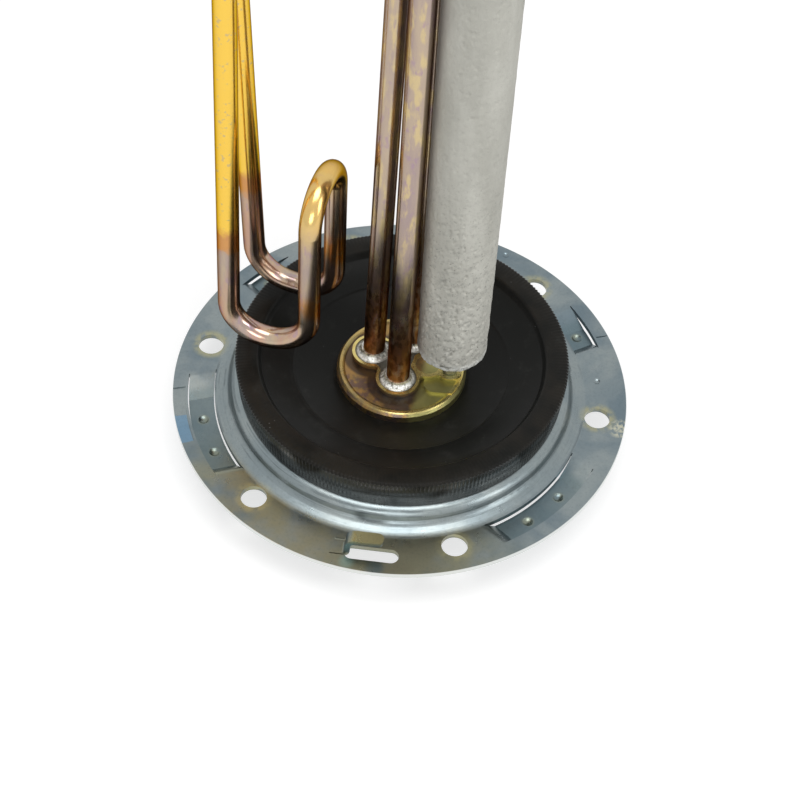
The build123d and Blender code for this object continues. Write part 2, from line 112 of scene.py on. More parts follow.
# %% [markdown]
# A finish is a small graph of shader nodes. This helper keeps the graph readable: each
# call adds one node and gives back its output, so that a material reads like a recipe.
# Positions are taken from the object's own coordinates, in millimetres, so the pattern
# stays on the metal when the camera moves.

# %% Node helper
class Finish:
    """A Principled material, and short calls for the nodes that feed it."""

    def __init__(self, name, metallic=0.0, roughness=0.5, specular=0.5):
        self.material = bpy.data.materials.new(name)
        self.material.use_nodes = True
        self.tree = self.material.node_tree
        self.shader = self.tree.nodes["Principled BSDF"]
        self.shader.inputs["Metallic"].default_value = metallic
        self.shader.inputs["Roughness"].default_value = roughness
        self.shader.inputs["Specular IOR Level"].default_value = specular
        place = self.tree.nodes.new("ShaderNodeTexCoord").outputs["Object"]
        self.mm = self.vector("SCALE", place, scale=1 / MM)
        parts = self.tree.nodes.new("ShaderNodeSeparateXYZ")
        self.tree.links.new(self.mm, parts.inputs[0])
        self.x, self.y, self.z = parts.outputs

    def feed(self, socket, value):
        """Links an output to a socket, or sets the socket's own value."""
        if isinstance(value, bpy.types.NodeSocket):
            self.tree.links.new(value, socket)
        elif isinstance(value, (tuple, list)) and socket.type == "RGBA":
            socket.default_value = (*value, 1)
        else:
            socket.default_value = value

    def vector(self, operation, a, b=None, scale=None):
        node = self.tree.nodes.new("ShaderNodeVectorMath")
        node.operation = operation
        self.feed(node.inputs[0], a)
        if b is not None:
            self.feed(node.inputs[1], b)
        if scale is not None:
            self.feed(node.inputs["Scale"], scale)
        return node.outputs["Value"] if operation in ("LENGTH", "DISTANCE") else node.outputs[0]

    def math(self, operation, a, b=0.0, clamp=False):
        node = self.tree.nodes.new("ShaderNodeMath")
        node.operation = operation
        node.use_clamp = clamp
        self.feed(node.inputs[0], a)
        self.feed(node.inputs[1], b)
        return node.outputs[0]

    def rise(self, value, low, high):
        """0 below low and 1 above high, with a smooth slope between them."""
        node = self.tree.nodes.new("ShaderNodeMapRange")
        node.interpolation_type = "SMOOTHSTEP"
        if low > high:
            node.inputs["To Min"].default_value, node.inputs["To Max"].default_value = 1, 0
            low, high = high, low
        self.feed(node.inputs["Value"], value)
        node.inputs["From Min"].default_value = low
        node.inputs["From Max"].default_value = high
        return node.outputs["Result"]

    def band(self, value, low, high, soft):
        """1 between low and high, fading to 0 over soft outside them."""
        return self.math("MULTIPLY", self.rise(value, low - soft, low), self.rise(value, high + soft, high))

    def near(self, point, inner, outer):
        """1 within inner millimetres of a point, fading to 0 at outer."""
        return self.rise(self.vector("DISTANCE", self.mm, point), outer, inner)

    def stretched(self, sx, sy, sz):
        """The place in millimetres, squeezed along each axis to draw out a pattern."""
        return self.vector("MULTIPLY", self.mm, (sx, sy, sz))

    def noise(self, size, detail=3.0, rough=0.55, distortion=0.0, at=None, shift=0.0):
        """Cloudy noise with features about size millimetres across, from 0 to 1."""
        node = self.tree.nodes.new("ShaderNodeTexNoise")
        node.noise_dimensions = "4D"
        self.feed(node.inputs["Vector"], self.mm if at is None else at)
        node.inputs["W"].default_value = shift
        node.inputs["Scale"].default_value = 1 / size
        node.inputs["Detail"].default_value = detail
        node.inputs["Roughness"].default_value = rough
        node.inputs["Distortion"].default_value = distortion
        return node.outputs["Fac"]

    def cells(self, size, at=None, feature="F1"):
        """Distance to the nearest of many scattered points, about size apart."""
        node = self.tree.nodes.new("ShaderNodeTexVoronoi")
        node.feature = feature
        self.feed(node.inputs["Vector"], self.mm if at is None else at)
        node.inputs["Scale"].default_value = 1 / size
        return node.outputs["Distance"]

    def mix(self, share, a, b):
        """Colour a where share is 0, and b where it is 1."""
        node = self.tree.nodes.new("ShaderNodeMix")
        node.data_type = "RGBA"
        self.feed(node.inputs["Factor"], share)
        self.feed(node.inputs["A"], a)
        self.feed(node.inputs["B"], b)
        return node.outputs["Result"]

    def ramp(self, value, stops):
        """A colour for a value, from a list of positions and colours."""
        node = self.tree.nodes.new("ShaderNodeValToRGB")
        elements = node.color_ramp.elements
        while len(elements) < len(stops):
            elements.new(1.0)
        for element, (position, colour) in zip(elements, stops):
            element.position = position
            element.color = (*colour, 1)
        self.feed(node.inputs[0], value)
        return node.outputs["Color"]

    def join(self, x, y, z):
        """A vector from three values."""
        node = self.tree.nodes.new("ShaderNodeCombineXYZ")
        for socket, value in zip(node.inputs, (x, y, z)):
            self.feed(socket, value)
        return node.outputs[0]

    def polar(self):
        """Radius in millimetres and angle in degrees about the flange's axis."""
        flat = self.vector("MULTIPLY", self.mm, (1, 1, 0))
        angle = self.math("MULTIPLY", self.math("ARCTAN2", self.y, self.x), 180 / pi)
        return self.vector("LENGTH", flat), angle

    def bump(self, height, strength, distance):
        """Feeds the shader's normal with relief; distance is its depth in millimetres."""
        node = self.tree.nodes.new("ShaderNodeBump")
        node.inputs["Strength"].default_value = strength
        node.inputs["Distance"].default_value = distance * MM
        self.feed(node.inputs["Height"], height)
        self.tree.links.new(node.outputs["Normal"], self.shader.inputs["Normal"])

    def set(self, **sockets):
        """Feeds the shader's sockets, named with underscores for spaces."""
        for name, value in sockets.items():
            title = name.replace("_", " ").title().replace("Ior", "IOR")
            self.feed(self.shader.inputs[title], value)
        return self.material


def grey(value):
    """A neutral colour, as the mix and ramp calls want it."""
    return (value, value, value)


print("node helper ready")

# %% [markdown]
# Zinc plated sheet steel isn't one grey. The plating is blue-grey, with a straw tint
# where the passivation pooled: over the front of the ring, round the holes and on the
# dimples. The shoulder carries fine lines that run round it, from the press tool, and
# grain in the bump breaks its highlight into sparkle. A metal's colour is what it
# reflects, so the base colour stays dark here and the studio does the rest. Painted
# shade darkens the zinc below the ring's top face, on the sunk strips, down the hole
# walls and underneath, and on the hook's riser.

# %% Zinc steel
BLUE_GREY = (0.150, 0.195, 0.220)
PALE_ZINC = (0.270, 0.305, 0.305)
STRAW = (0.275, 0.265, 0.170)
DUSK = (0.085, 0.105, 0.115)
BARE_EDGE = (0.78, 0.80, 0.78)
COIN_BLUE = (0.16, 0.28, 0.40)
BOLT_CIRCLE = 74.4
BOLT_ANGLES = (5.5, 60, 120, 180, 240, 300)
DIMPLE_ANGLES = (206.8, 219.0, 323.1, 335.5, 38.5, 148.5)


def on_ring(angle, z=0.0, radius=BOLT_CIRCLE):
    """A point on the bolt circle, in millimetres."""
    return (radius * cos(radians(angle)), radius * sin(radians(angle)), z)


def largest(f, values):
    """The largest of several outputs."""
    total = values[0]
    for value in values[1:]:
        total = f.math("MAXIMUM", total, value)
    return total


def zinc_steel():
    f = Finish("zinc_steel", metallic=1.0)
    radius, angle = f.polar()
    cloud = f.noise(24, detail=5, distortion=0.6)
    colour = f.mix(f.rise(cloud, 0.35, 0.68), BLUE_GREY, PALE_ZINC)
    warm = f.math("MULTIPLY", f.band(angle, -128, -62, 26), f.band(radius, 70, 90, 3))
    warm = f.math("MULTIPLY", warm, f.rise(f.noise(15, shift=3), 0.25, 0.60))
    colour = f.mix(f.math("MULTIPLY", warm, 0.8), colour, STRAW)
    rings = [f.near(on_ring(place), 5.0, 8.0) for place in BOLT_ANGLES]
    rings += [f.near(on_ring(place, -3), 1.2, 3.0) for place in DIMPLE_ANGLES]
    tint = f.math("MULTIPLY", largest(f, rings), f.rise(f.noise(3.0, shift=5), 0.30, 0.60))
    colour = f.mix(f.math("MULTIPLY", tint, 0.75), colour, (0.40, 0.38, 0.22))
    # Painted shade: below the ring's top face, on the sunk strips, down the hole walls and underneath, the zinc is a
    # darker blue-grey.
    sunk_painted_shade = f.math("MULTIPLY", f.rise(f.z, -1.2, -2.4), f.rise(radius, 66, 69))
    colour = f.mix(f.math("MULTIPLY", sunk_painted_shade, 0.55), colour, (0.105, 0.155, 0.170))
    coin = f.math("MULTIPLY", f.band(angle, -153.9, -145.3, 0.4), f.rise(radius, 80.3, 80.7))
    colour = f.mix(f.math("MULTIPLY", coin, 0.8), colour, COIN_BLUE)
    slow = f.math("MULTIPLY", f.noise(34, shift=6), 5.0)
    lines = f.noise(1.3, detail=5, rough=0.65, at=f.join(radius, f.math("MULTIPLY", f.z, 1.5), slow))
    shoulder = f.band(radius, 59, 69, 1.2)
    colour = f.mix(f.math("MULTIPLY", shoulder, 0.5), colour, PALE_ZINC)
    colour = f.mix(f.math("MULTIPLY", f.math("MULTIPLY", f.rise(lines, 0.50, 0.62), shoulder), 0.65), colour, DUSK)
    top = f.math("MULTIPLY", f.rise(f.z, 6.9, 7.5), f.rise(radius, 68, 70))
    colour = f.mix(f.math("MULTIPLY", top, 0.7), colour, (0.36, 0.34, 0.17))
    # Painted shade: the hook's riser, between the ring and the hook's top, is a darker blue.
    hook_riser_painted_shade = f.math("MULTIPLY", f.band(f.z, 1.2, 5.4, 1.4), f.rise(radius, 68, 70))
    colour = f.mix(f.math("MULTIPLY", hook_riser_painted_shade, 0.6), colour, (0.10, 0.17, 0.24))
    colour = f.mix(f.math("MULTIPLY", f.near((2.4, -82.0, 0), 1.0, 4.0), 0.6), colour, (0.28, 0.42, 0.38))
    colour = f.mix(f.math("MULTIPLY", f.near((12.5, -82.4, 0), 1.5, 4.5), 0.5), colour, (0.09, 0.15, 0.20))
    scuff = f.math("MULTIPLY", f.near((83.5, 4.5, 0), 2.5, 5.5), f.rise(f.noise(1.6, detail=5, shift=8), 0.42, 0.58))
    colour = f.mix(scuff, colour, (0.48, 0.48, 0.38))
    mottle = f.noise(1.1, detail=6, rough=0.7)
    colour = f.mix(f.math("MULTIPLY", f.rise(mottle, 0.45, 0.80), 0.35), colour, DUSK)
    cut_face = f.rise(radius, 84.8, 84.95)
    colour = f.mix(f.math("MULTIPLY", cut_face, 0.8), colour, BARE_EDGE)
    grain = f.noise(0.42, detail=3, rough=0.7)
    relief = f.math("ADD", f.math("MULTIPLY", grain, f.math("ADD", f.math("MULTIPLY", shoulder, 1.4), 0.35)), mottle)
    f.bump(f.math("ADD", relief, f.math("MULTIPLY", lines, shoulder)), 0.35, 0.06)
    rough = f.math("ADD", f.math("MULTIPLY", f.noise(7, detail=5, shift=9), 0.20), 0.20)
    rough = f.math("ADD", rough, f.math("MULTIPLY", scuff, 0.25))
    return f.set(base_color=colour, roughness=rough)


# %% [markdown]
# The gasket is moulded black rubber: nearly black, a little brown on the flat rim, greyer
# where dust lies, and with flow lines that run round the dish. It hardly mirrors what is
# above it, except for the smooth outer wall, which shows the bright shoulder below.

# %% Black rubber
RUBBER = (0.0065, 0.0068, 0.0060)
RUBBER_BROWN = (0.0160, 0.0140, 0.0110)
RUBBER_DUST = (0.034, 0.035, 0.032)


def black_rubber():
    f = Finish("black_rubber", roughness=0.4)
    radius, angle = f.polar()
    rim = f.band(radius, 53.5, 61, 0.6)
    colour = f.mix(f.math("MULTIPLY", rim, f.rise(f.noise(12, shift=1), 0.3, 0.7)), RUBBER, RUBBER_BROWN)
    dust = f.noise(8, detail=6, rough=0.7)
    colour = f.mix(f.math("MULTIPLY", f.rise(dust, 0.50, 0.85), 0.6), colour, RUBBER_DUST)
    specks = f.math("MULTIPLY", f.rise(f.cells(2.6), 0.10, 0.05), f.rise(f.noise(6, shift=2), 0.57, 0.65))
    colour = f.mix(f.math("MULTIPLY", specks, 0.6), colour, grey(0.16))
    rings = f.math("SINE", f.math("MULTIPLY", radius, 4.0))
    f.bump(f.math("ADD", f.noise(0.6, detail=4), f.math("MULTIPLY", rings, 0.10)), 0.16, 0.08)
    wall = f.math("MULTIPLY", f.rise(radius, 60.0, 60.6), f.rise(f.z, 19.4, 18.9))
    patch = f.rise(f.noise(17, detail=1, shift=11), 0.42, 0.50)
    gloss = f.math("ADD", f.math("MULTIPLY", f.math("MULTIPLY", wall, patch), 0.75), 0.11)
    rough = f.math("ADD", f.math("MULTIPLY", f.noise(5, shift=4), 0.16), 0.26)
    rough = f.math("SUBTRACT", rough, f.math("MULTIPLY", wall, 0.14))
    return f.set(base_color=colour, roughness=rough, specular_ior_level=gloss)


# %% [markdown]
# The brass plate is a forging that has been heated for soldering. It is brown and orange
# on the left, darker in a painted shade in the channel round the foot of the boss, greyer
# in patches in front of it, and clean pale olive on the right. The boss's lip and the rim
# carry a painted yellow highlight, the rim more towards the right. The distance from
# the boss is the least of the distances from its round lobes.

# %% Tarnished brass
BRASS_BROWN = (0.205, 0.155, 0.070)
BRASS_OLIVE = (0.40, 0.375, 0.145)
BRASS_ORANGE = (0.40, 0.235, 0.080)
BRASS_CHANNEL_SHADE = (0.060, 0.046, 0.040)
BRASS_PURPLE = (0.135, 0.095, 0.095)
BRASS_HIGHLIGHT = (0.70, 0.58, 0.22)
LOBES = [((-11.6, 2.2), 7.8), ((2.1, 11.7), 7.8), ((0.5, -8.1), 8.05), ((-3.0, 1.9), 8.0), ((9.6, 1.3), 6.0),
         ((18.0, 0.9), 4.5)]


def lobe_distance(f, lobes):
    """Distance in plan from the outline of a few overlapping circles; negative inside."""
    flat = f.vector("MULTIPLY", f.mm, (1, 1, 0))
    total = None
    for centre, radius in lobes:
        gap = f.math("SUBTRACT", f.vector("DISTANCE", flat, (*centre, 0)), radius)
        total = gap if total is None else f.math("MINIMUM", total, gap)
    return total


def plate_brass():
    f = Finish("plate_brass", metallic=0.9)
    radius, angle = f.polar()
    off_boss = lobe_distance(f, LOBES)
    on_disc = f.rise(f.z, 14.0, 13.3)
    colour = f.mix(f.rise(f.noise(4, detail=6, rough=0.65), 0.35, 0.65), BRASS_BROWN, BRASS_ORANGE)
    left = f.rise(f.x, -12, -18)
    colour = f.mix(f.math("MULTIPLY", left, 0.55), colour, BRASS_ORANGE)
    purple = f.math("MULTIPLY", f.rise(f.y, -6, -12), f.rise(f.noise(2.6, detail=5, shift=4), 0.42, 0.58))
    colour = f.mix(f.math("MULTIPLY", purple, 0.8), colour, BRASS_PURPLE)
    clean = f.math("MULTIPLY", f.rise(f.x, 7.0, 10.0), f.rise(f.noise(5, shift=12), 0.20, 0.42))
    colour = f.mix(clean, colour, BRASS_OLIVE)
    # Painted shade: the channel round the foot of the boss is darkened, most towards the left.
    channel_painted_shade = f.math("MULTIPLY", f.band(off_boss, 0.3, 2.6, 1.3), on_disc)
    channel_painted_shade = f.math("MULTIPLY", channel_painted_shade, f.math("ADD", f.math("MULTIPLY", f.rise(f.x, 12, 4), 0.6), 0.25))
    colour = f.mix(channel_painted_shade, colour, BRASS_CHANNEL_SHADE)
    # Greyer patches in front of the boss, laid over the painted channel shade.
    front_grey_patch = f.math("MULTIPLY", f.near((3, -17.5, 12.6), 3, 8), f.rise(f.noise(3, shift=7, detail=5), 0.38, 0.56))
    colour = f.mix(f.math("MULTIPLY", front_grey_patch, 0.8), colour, (0.125, 0.115, 0.105))
    # Painted highlight: the boss's lip and the rim are painted bright yellow, the rim more towards the right, and
    # made smoother.
    lip = f.math("MULTIPLY", f.band(off_boss, -1.4, 0.05, 0.2), f.rise(f.z, 14.6, 15.1))
    rim = f.math("MULTIPLY", f.band(radius, 21.6, 23.1, 0.4), f.math("ADD", f.math("MULTIPLY", f.rise(f.x, -4, 6), 0.5), 0.4))
    lip_and_rim_highlight = f.math("MULTIPLY", f.math("MAXIMUM", lip, rim), f.rise(f.noise(2.2, shift=8, detail=4), 0.22, 0.50))
    colour = f.mix(f.math("MULTIPLY", lip_and_rim_highlight, 0.9), colour, BRASS_HIGHLIGHT)
    f.bump(f.noise(0.9, detail=6, rough=0.68), 0.4, 0.14)
    rough = f.math("ADD", f.math("MULTIPLY", f.noise(2.4, shift=1), 0.22), 0.24)
    rough = f.math("SUBTRACT", rough, f.math("MULTIPLY", lip_and_rim_highlight, 0.12))
    return f.set(base_color=colour, roughness=rough)


# %% [markdown]
# Solder is bright and lumpy where it wets the tubes, and dull grey where it lies flat.

# %% Solder
TUBE_LOBES = [((-11.6, 2.2), 4.0), ((2.1, 11.7), 4.0), ((0.5, -8.1), 4.25)]


def solder():
    f = Finish("solder", metallic=1.0)
    off_tube = lobe_distance(f, TUBE_LOBES)
    wet = f.math("MULTIPLY", f.rise(off_tube, 2.6, 1.5), f.rise(f.noise(1.3, detail=5), 0.30, 0.55))
    colour = f.mix(wet, (0.125, 0.120, 0.100), (0.74, 0.74, 0.70))
    colour = f.mix(f.math("MULTIPLY", f.rise(f.noise(0.8, detail=4, shift=5), 0.52, 0.66), 0.7), colour, (0.20, 0.18, 0.13))
    f.bump(f.noise(1.0, detail=5, rough=0.6), 0.8, 0.35)
    rough = f.math("ADD", f.math("MULTIPLY", f.noise(1.5, shift=2), 0.25), 0.28)
    return f.set(base_color=colour, roughness=rough)


# %% [markdown]
# Copper that has been annealed carries heat tints: gold high up on the loops and over
# the arch, partly a painted highlight, then mauve-beige, and orange-brown scale near the
# solder. The tints run along the tube, so the noise is drawn out in height. The finish
# is smooth, so that each tube mirrors what lies below it in sharp streaks, and the tint
# at grazing angles is dark.

# %% Heat-tinted copper
BEIGE = (0.47, 0.375, 0.285)
MAUVE = (0.375, 0.295, 0.275)
ROSE = (0.52, 0.315, 0.225)
GOLD_TINT_AND_HIGHLIGHT = (0.88, 0.57, 0.085)
ORANGE = (0.62, 0.27, 0.055)
SCALE_BROWN = (0.155, 0.080, 0.038)
SCALE_RED = (0.32, 0.125, 0.045)
VIOLET = (0.36, 0.25, 0.33)
ORANGE_PATCHES = [((-28.3, -16.0, 53), 3, 9), ((-26.6, 9.5, 57), 4, 10)]
GREY_GOLD = (0.62, 0.49, 0.25)


def copper_tube():
    f = Finish("copper_tube", metallic=1.0)
    along = f.stretched(1, 1, 0.14)
    loops = f.rise(f.x, -20, -24)
    colour = f.mix(f.rise(f.noise(6, detail=4, at=along), 0.36, 0.64), BEIGE, MAUVE)
    rosy = f.math("MULTIPLY", f.rise(f.noise(8, at=along, shift=9), 0.42, 0.62), loops)
    colour = f.mix(f.math("MULTIPLY", rosy, 0.75), colour, ROSE)
    patchy = f.rise(f.noise(4, detail=5, at=f.stretched(1, 1, 0.3), shift=4), 0.48, 0.60)
    colour = f.mix(f.math("MULTIPLY", patchy, f.math("SUBTRACT", 0.75, f.math("MULTIPLY", loops, 0.55))), colour, GREY_GOLD)
    violet = f.rise(f.noise(2.4, detail=5, at=f.stretched(1, 1, 0.5), shift=6), 0.56, 0.66)
    colour = f.mix(f.math("MULTIPLY", violet, 0.55), colour, VIOLET)
    wavy = f.math("ADD", f.z, f.math("MULTIPLY", f.noise(3.5, detail=4, shift=13), 9))
    outer = f.math("MULTIPLY", loops, f.rise(f.x, -46, -52))
    colour = f.mix(f.math("MULTIPLY", f.band(wavy, 79, 87, 4), f.math("MULTIPLY", outer, 0.75)), colour, ORANGE)
    high = f.math("MULTIPLY", f.rise(wavy, 84, 90), outer)
    # Gold high on the outer loops and over the arch: partly heat tint, partly a painted highlight where the lamps
    # catch the bends.
    arch = f.math("MULTIPLY", f.math("MULTIPLY", loops, f.rise(f.z, 78, 98)), f.rise(f.x, -46, -40))
    gold_tint_and_highlight = f.math("MAXIMUM", f.math("MULTIPLY", high, 0.95), f.math("MULTIPLY", arch, 0.55))
    colour = f.mix(gold_tint_and_highlight, colour, GOLD_TINT_AND_HIGHLIGHT)
    spots = f.math("MULTIPLY", f.rise(f.noise(1.5, detail=5, shift=14), 0.58, 0.64), high)
    colour = f.mix(f.math("MULTIPLY", spots, 0.55), colour, (0.42, 0.38, 0.26))
    for point, inner, fade in ORANGE_PATCHES:
        patch = f.math("MULTIPLY", f.near(point, inner, fade), f.rise(f.noise(3, shift=15), 0.30, 0.50))
        colour = f.mix(f.math("MULTIPLY", patch, 0.85), colour, ORANGE)
    by_plate = f.rise(f.x, -22, -17)
    low = f.math("MULTIPLY", f.rise(f.z, 72, 34), by_plate)
    low_scale = f.math("MULTIPLY", low, f.rise(f.noise(3.2, detail=5, at=f.stretched(1, 1, 0.4)), 0.28, 0.52))
    colour = f.mix(f.math("MULTIPLY", low_scale, 0.8), colour, SCALE_RED)
    burnt = f.math("MULTIPLY", low, f.rise(f.noise(1.8, detail=6, at=f.stretched(1, 1, 0.5), shift=16), 0.46, 0.60))
    colour = f.mix(f.math("MULTIPLY", burnt, 0.85), colour, SCALE_BROWN)
    f.bump(f.math("ADD", f.noise(0.5, detail=4, at=f.stretched(1, 1, 0.03)), f.noise(2.2, detail=3)), 0.12, 0.08)
    rough = f.math("ADD", f.math("MULTIPLY", f.noise(3, at=along, shift=2), 0.16), 0.12)
    rough = f.math("ADD", rough, f.math("MULTIPLY", low, 0.12))
    return f.set(base_color=colour, roughness=rough, specular_tint=(0.20, 0.15, 0.12))


# %% [markdown]
# Cast magnesium goes matt and pale grey in air, darker where the mould left a skin, and
# it is full of dark pits towards its lower end.

# %% Magnesium
def magnesium():
    f = Finish("magnesium", metallic=0.2, roughness=0.78, specular=0.25)
    skin = f.noise(9, detail=6, at=f.stretched(1, 1, 0.25))
    colour = f.mix(f.rise(skin, 0.35, 0.7), (0.50, 0.495, 0.445), (0.60, 0.595, 0.54))
    # Painted shade: the anode's left side is darker.
    left_painted_shade = f.rise(f.x, 11.0, 5.6)
    colour = f.mix(f.math("MULTIPLY", left_painted_shade, 0.75), colour, (0.27, 0.245, 0.225))
    low = f.rise(f.z, 150, 36)
    mottle = f.rise(f.noise(2.2, detail=7, rough=0.75, shift=3), 0.50, 0.36)
    colour = f.mix(f.math("MULTIPLY", mottle, f.math("ADD", f.math("MULTIPLY", low, 0.50), 0.08)), colour, (0.26, 0.26, 0.235))
    pits = f.rise(f.noise(0.75, detail=4, rough=0.6, shift=5), 0.40, 0.33)
    colour = f.mix(f.math("MULTIPLY", pits, f.math("ADD", f.math("MULTIPLY", low, 0.75), 0.10)), colour, (0.11, 0.11, 0.095))
    edge = f.math("MULTIPLY", f.rise(f.z, 33.5, 29.5), f.rise(f.noise(1.4, detail=5, shift=7), 0.36, 0.52))
    colour = f.mix(f.math("MULTIPLY", edge, 0.7), colour, (0.74, 0.76, 0.74))
    f.bump(f.noise(0.7, detail=6, rough=0.7), 0.6, 0.28)
    return f.set(base_color=colour)


# %% [markdown]
# The hidden side has plain hardware: plated steel, a machined brass nut, white ceramic
# beads and tinned blades. Each still gets its own grain.

# %% Small hardware
def machined(name, light, dark, metallic=1.0, rough_from=0.25, size=1.2):
    f = Finish(name, metallic=metallic)
    turned = f.noise(size, detail=5, at=f.stretched(1, 1, 4))
    colour = f.mix(f.rise(turned, 0.35, 0.7), light, dark)
    f.bump(f.noise(size / 2, detail=4), 0.2, 0.05)
    rough = f.math("ADD", f.math("MULTIPLY", f.noise(size * 3, shift=2), 0.25), rough_from)
    return f.set(base_color=colour, roughness=rough)


finishes = {
    "zinc_steel": zinc_steel(),
    "black_rubber": black_rubber(),
    "plate_brass": plate_brass(),
    "solder": solder(),
    "copper_tube": copper_tube(),
    "magnesium": magnesium(),
    "plated_steel": machined("plated_steel", (0.42, 0.44, 0.44), (0.24, 0.26, 0.27)),
    "nut_brass": machined("nut_brass", (0.56, 0.42, 0.18), (0.36, 0.26, 0.11)),
    "white_ceramic": machined("white_ceramic", (0.80, 0.78, 0.72), (0.66, 0.63, 0.56), 0.0, 0.55),
    "tinned_tab": machined("tinned_tab", (0.60, 0.60, 0.57), (0.42, 0.42, 0.40)),
}
print("finishes:", ", ".join(finishes))

# %% [markdown]
# Each CAD node keeps its mesh and takes the finish that the record names for it.

# %% Dress the CAD nodes
for entry in frame["record"]["subparts"]:
    body = nodes[entry["node"]]
    body.data.materials.clear()
    body.data.materials.append(finishes[entry["material_slot"]])

# %% [markdown]
# The rubber gasket and the anode need relief that belongs to the surface itself: a fine
# saw-tooth round the gasket's upper edge, and the pits of cast magnesium. Both are
# turned forms, so one helper makes a mesh from a section, with a say in how far each
# point moves inwards.

# %% A turned mesh
def turned_mesh(name, section, steps, centre=(0.0, 0.0), relief=None, closed=False):
    """Spins a section of radius and height, in millimetres, about a vertical axis."""
    rows = []
    verts, faces = [], []
    for radius, z in section:
        if radius < 1e-6:
            rows.append([len(verts)])
            verts.append(Vector((centre[0], centre[1], z)) * MM)
            continue
        row = []
        for step in range(steps):
            angle = 2 * pi * step / steps
            reach, height = relief(radius, z, angle) if relief else (radius, z)
            row.append(len(verts))
            verts.append(Vector((centre[0] + reach * cos(angle), centre[1] + reach * sin(angle), height)) * MM)
        rows.append(row)
    pairs = list(zip(rows, rows[1:] + rows[:1] if closed else rows[1:]))
    for low, high in pairs:
        for step in range(steps):
            after = (step + 1) % steps
            if len(low) == 1:
                faces.append((low[0], high[after], high[step]))
            elif len(high) == 1:
                faces.append((low[step], low[after], high[0]))
            else:
                faces.append((low[step], low[after], high[after], high[step]))
    mesh = bpy.data.meshes.new(name)
    mesh.from_pydata(verts, [], faces)
    mesh.validate()
    for face in mesh.polygons:
        face.use_smooth = True
    piece = bpy.data.objects.new(name, mesh)
    bpy.context.scene.collection.objects.link(piece)
    return piece


def between(a, b, count):
    """Points from a up to, but not including, b."""
    return [(a[0] + (b[0] - a[0]) * i / count, a[1] + (b[1] - a[1]) * i / count) for i in range(count)]


def dress(piece, node, slot):
    """Gives a new piece its finish, and puts it in the place of a CAD node."""
    piece.data.materials.append(finishes[slot])
    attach(piece, "root")
    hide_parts(node)
    print(piece.name, len(piece.data.polygons), "faces")


# %% [markdown]
# The gasket's section goes round once, from its hole over the dish, the ridge and the
# rim, and back along the seat. Each corner gets two points close together, which keeps
# it crisp under smooth shading. The saw-tooth is 257 small notches in the outer edge.

# %% Gasket with a saw-tooth edge
GASKET_SECTION = [(18.3, 9.0), (24.5, 9.0), (39.6, 13.2), (40.2, 13.9), (41.4, 13.9), (51.8, 17.1), (52.8, 19.1),
                  (53.7, 20.0), (60.8, 20.0), (61.5, 19.3), (60.4, 7.1), (56.0, 7.1), (30.0, 5.0), (18.3, 5.0)]
TEETH = 257
TOOTH_DEPTH = 0.45
TOOTH_POINTS = 4
CORNER = 0.12


def crisp(section):
    """The closed section with two points at each corner instead of one."""
    points = []
    for index, here in enumerate(section):
        for other in (section[index - 1], section[(index + 1) % len(section)]):
            share = CORNER / hypot(other[0] - here[0], other[1] - here[1])
            points.append((here[0] + (other[0] - here[0]) * share, here[1] + (other[1] - here[1]) * share))
    return points


def saw_tooth(radius, z, angle):
    """Notches the outer edge of the rim, deepest at its corner."""
    share = max(0.0, min(1.0, (z - 18.4) / 0.6)) * max(0.0, min(1.0, (radius - 60.2) / 0.5))
    turn = (angle / (2 * pi) * TEETH) % 1.0
    notch = abs(2 * turn - 1)
    return radius - share * TOOTH_DEPTH * notch, z


dress(turned_mesh("toothed_gasket", crisp(GASKET_SECTION), TEETH * TOOTH_POINTS, relief=saw_tooth, closed=True),
      "sealing_gasket", "black_rubber")

# %% [markdown]
# The anode: pits are deeper and closer towards the lower end, where the water is
# hottest. The lower edge is ragged. Everything is cut inwards, so that the piece stays
# inside the size that the CAD gives.

# %% Anode with cast pits
ANODE_STEPS = 220
ANODE_ROWS = 360
ANODE_EDGE = 1.6


def anode_piece():
    low, high = [Vector(corner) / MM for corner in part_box("anode_rod")]
    centre = ((low.x + high.x) / 2, (low.y + high.y) / 2)
    reach = (high.x - low.x) / 2

    def relief(radius, z, angle):
        spot = Vector((cos(angle) * reach, sin(angle) * reach, z))
        lower = max(0.0, min(1.0, (low.z + 90 - z) / 90))
        coarse = noise.fractal(spot * 0.22, 1.0, 2.0, 4)
        pit = max(0.0, noise.noise(spot * 0.9) - 0.22) * (0.5 + 1.9 * lower)
        rough_low = 0.10 * lower * (1 + noise.noise(spot * 2.1))
        cut = 0.10 + 0.10 * (1 + coarse) * (1 + lower) + pit * 1.1 + rough_low
        height = z
        if z < low.z + 2 * ANODE_EDGE:
            height = z + 0.5 * (1 + noise.noise(spot * 0.5)) * min(1.0, radius / reach)
        return max(0.0, radius - cut * min(1.0, radius / reach)), height

    bottom = between((0, low.z), (reach - ANODE_EDGE, low.z), 16)
    corner = [(reach - ANODE_EDGE + ANODE_EDGE * sin(t * pi / 12), low.z + ANODE_EDGE * (1 - cos(t * pi / 12)))
              for t in range(6)]
    side = between((reach, low.z + ANODE_EDGE), (reach, high.z - ANODE_EDGE), ANODE_ROWS)
    top = [(reach - ANODE_EDGE + ANODE_EDGE * cos(t * pi / 12), high.z - ANODE_EDGE * (1 - sin(t * pi / 12)))
           for t in range(6)] + [(reach - ANODE_EDGE, high.z), (reach / 2, high.z), (0, high.z)]
    return turned_mesh("anode_cast_rod", bottom + corner + side + top, ANODE_STEPS, centre, relief)


dress(anode_piece(), "anode_rod", "magnesium")

# %% [markdown]
# A plain pale floor a little under the part, and soft studio light: one large lamp
# overhead, which the shoulder and the ramps mirror, one in front, and one on the right.
# The backdrop is white to the camera
# and in reflections, and dimmer where it lights the part, so colours come out about as
# they are written.

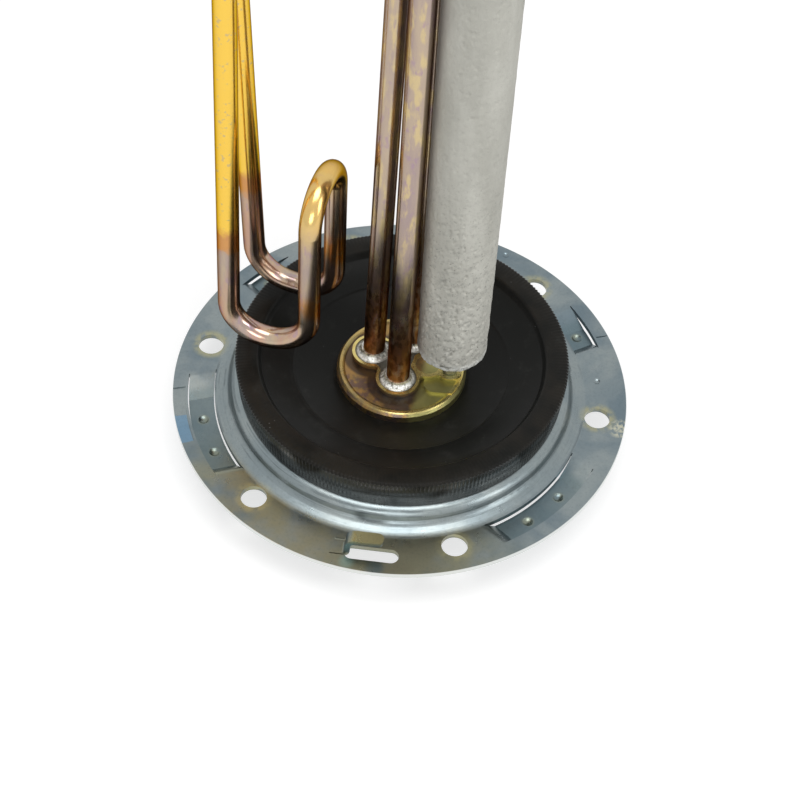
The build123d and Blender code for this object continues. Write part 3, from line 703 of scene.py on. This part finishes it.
# %% Floor
FLOOR_DROP = 0.5


def seen_directly(tree):
    """1 for rays from the camera, in reflections and through glass; 0 for others."""
    path = tree.nodes.new("ShaderNodeLightPath")
    total = path.outputs["Is Camera Ray"]
    for name in ("Is Glossy Ray", "Is Transmission Ray"):
        both = tree.nodes.new("ShaderNodeMath")
        both.operation = "MAXIMUM"
        tree.links.new(total, both.inputs[0])
        tree.links.new(path.outputs[name], both.inputs[1])
        total = both.outputs[0]
    return total


def make_floor():
    level = cad_box[0][2] - FLOOR_DROP * MM
    mesh = bpy.data.meshes.new("floor")
    half = 6.0
    mesh.from_pydata([(-half, -half, level), (half, -half, level), (half, half, level), (-half, half, level)],
                     [], [(0, 1, 2, 3)])
    floor = bpy.data.objects.new("floor", mesh)
    bpy.context.scene.collection.objects.link(floor)
    material = bpy.data.materials.new("floor_paper")
    material.use_nodes = True
    tree = material.node_tree
    shader = tree.nodes["Principled BSDF"]
    shader.inputs["Base Color"].default_value = (0.55, 0.55, 0.55, 1)
    shader.inputs["Roughness"].default_value = 1.0
    shader.inputs["Specular IOR Level"].default_value = 0.0
    shader.inputs["Emission Color"].default_value = (1, 1, 1, 1)
    lift = tree.nodes.new("ShaderNodeMath")
    lift.operation = "MULTIPLY"
    lift.inputs[1].default_value = 0.62
    tree.links.new(seen_directly(tree), lift.inputs[0])
    tree.links.new(lift.outputs[0], shader.inputs["Emission Strength"])
    mesh.materials.append(material)
    return floor


floor = make_floor()
print("floor at", round(floor.data.vertices[0].co.z, 4), "m")

# %% Studio light
BACKDROP_LIGHT = 0.42


def make_world():
    world = bpy.data.worlds.new("studio")
    bpy.context.scene.world = world
    world.use_nodes = True
    tree = world.node_tree
    background = tree.nodes["Background"]
    background.inputs["Color"].default_value = (1, 1, 1, 1)
    strength = tree.nodes.new("ShaderNodeMapRange")
    strength.inputs["To Min"].default_value = BACKDROP_LIGHT
    strength.inputs["To Max"].default_value = 1.0
    tree.links.new(seen_directly(tree), strength.inputs["Value"])
    tree.links.new(strength.outputs["Result"], background.inputs["Strength"])


def lamp(name, place, width, height, watts, target=(0, 0, 60)):
    """A rectangular soft lamp, placed in millimetres and aimed at a target."""
    data = bpy.data.lights.new(name, "AREA")
    data.shape = "RECTANGLE"
    data.size, data.size_y = width * MM, height * MM
    data.energy = watts
    light = bpy.data.objects.new(name, data)
    light.location = Vector(place) * MM
    light.rotation_euler = (Vector(target) - Vector(place)).to_track_quat("-Z", "Y").to_euler()
    bpy.context.scene.collection.objects.link(light)
    return light


make_world()
lamps = [
    lamp("overhead_lamp", (80, -300, 1300), 1000, 640, 8.0),
    lamp("front_lamp", (150, -1100, 420), 600, 420, 2.6),
    lamp("right_lamp", (1000, -350, 500), 350, 600, 2.4),
]
print("lamps:", ", ".join(light.name for light in lamps))

# %% [markdown]
# The view transform is Standard, so that white stays white and a colour comes out as it
# is written.

# %% View transform
bpy.context.scene.view_settings.view_transform = "Standard"
